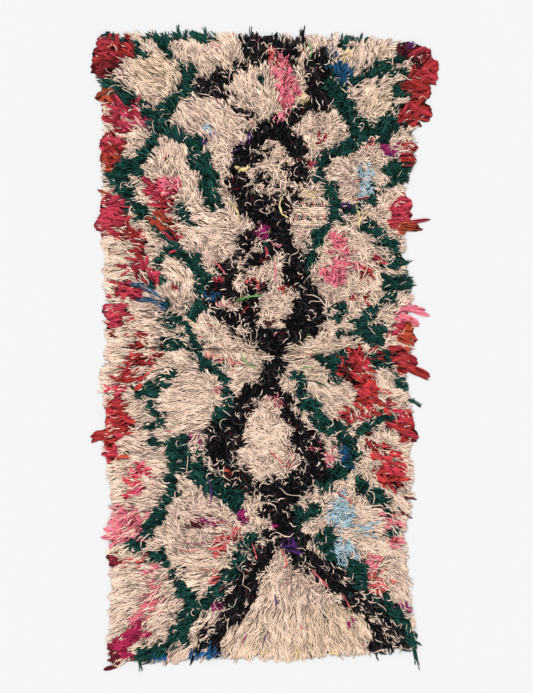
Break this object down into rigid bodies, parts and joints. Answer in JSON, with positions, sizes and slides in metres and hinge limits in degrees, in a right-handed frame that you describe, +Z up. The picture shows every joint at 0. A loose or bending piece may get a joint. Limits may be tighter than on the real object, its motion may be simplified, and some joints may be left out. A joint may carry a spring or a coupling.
{
  "type": "azilal rug",
  "caption": "Flat shag rug: a lumpy slab of knotted wool and rag pile with loose locks all round its rim, lying on the floor.",
  "frame": {"origin": "on the rug's flat underside, at the middle of the knotted ground", "axes": "+X across the rug to its right edge, +Y along it to its far end, +Z up through the pile"},
  "size_m": [1.1235, 2.0819, 0.0342],
  "materials": {
    "ivory_wool": "matt undyed wool yarn, unevenly spun",
    "green_wool": "matt dark green wool yarn",
    "black_wool": "matt brown-black wool yarn",
    "red_rag": "matt torn cotton and jersey strips in reds",
    "pink_wool": "matt pink yarn and rag",
    "blue_wool": "matt light and mid blue yarn",
    "oddment_yarn": "matt oddments of yellow, purple, orange and bright green yarn",
    "ground_weave": "plain woven wool ground, seen underneath and where the pile is worn"
  },
  "bodies": {
    "root": {"shag_rug": "ivory_wool"}
  },
  "joints": []
}
